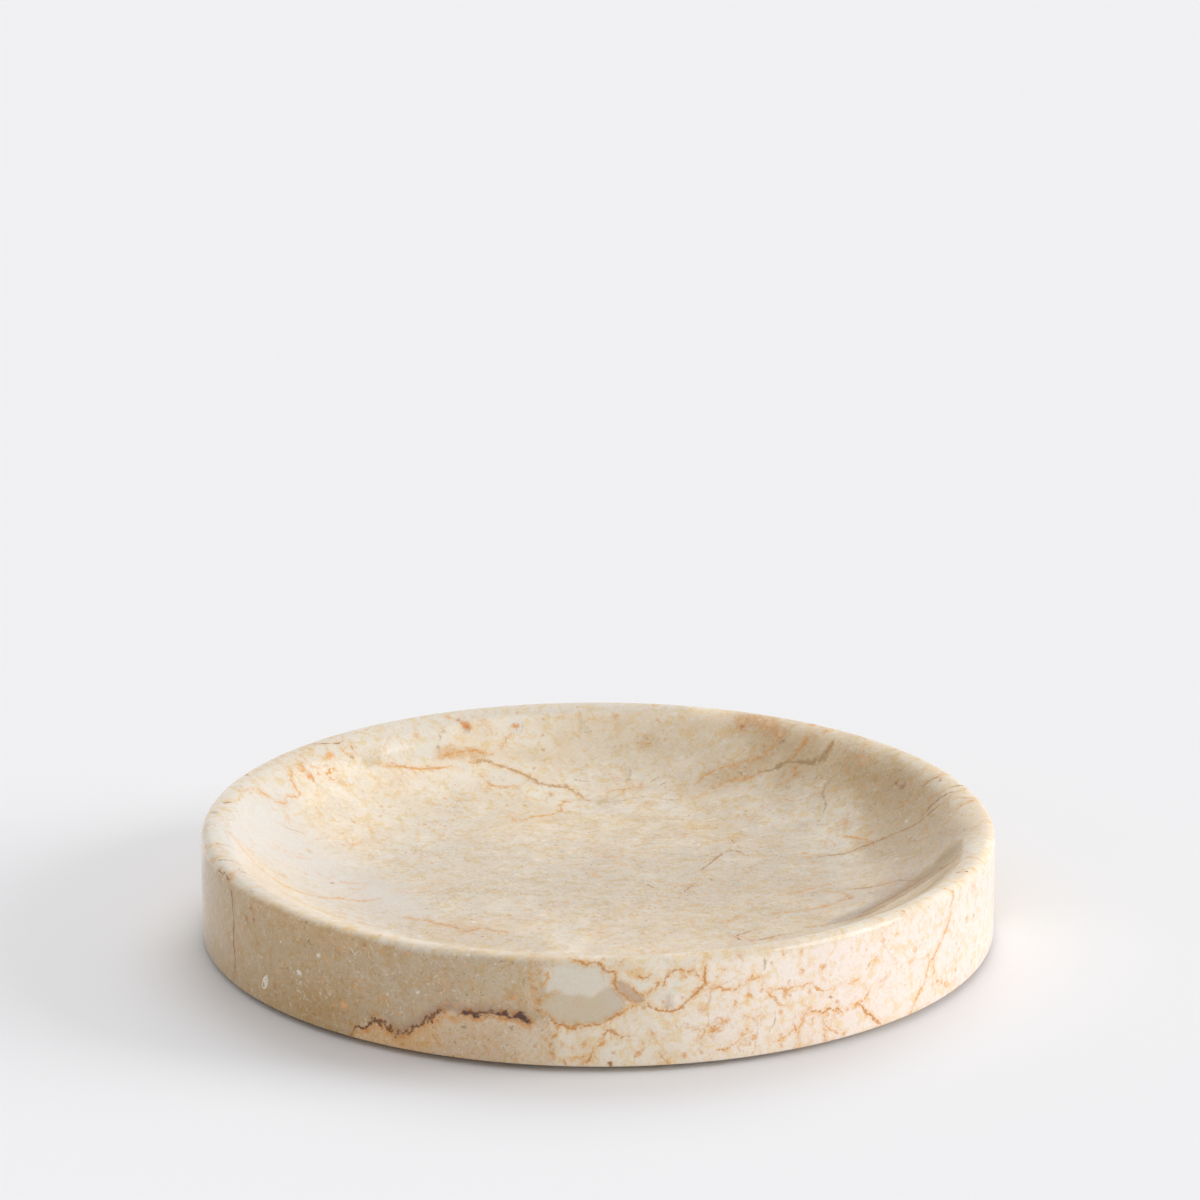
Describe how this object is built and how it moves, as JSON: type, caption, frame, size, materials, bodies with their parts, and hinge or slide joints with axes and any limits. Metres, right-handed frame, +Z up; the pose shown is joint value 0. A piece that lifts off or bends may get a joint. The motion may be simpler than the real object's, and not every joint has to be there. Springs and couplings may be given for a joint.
{
  "type": "marble bowl",
  "caption": "Low round stone bowl with upright sides, a rounded rim and a shallow dished hollow with a flat polished floor, on thin felt pads.",
  "frame": {"origin": "on the table, under the middle of the bowl: the centre of the plane that the felt pads stand on", "axes": "+Z up, along the bowl's axis; the bowl is round, and X and Y run between the pads, which sit on the diagonals"},
  "size_m": [0.2, 0.2, 0.0285],
  "materials": {
    "stone": "polished",
    "felt": "matte"
  },
  "bodies": {
    "root": {"marble_bowl": "stone", "felt_pad_1": "felt", "felt_pad_2": "felt", "felt_pad_3": "felt", "felt_pad_4": "felt"}
  },
  "joints": []
}
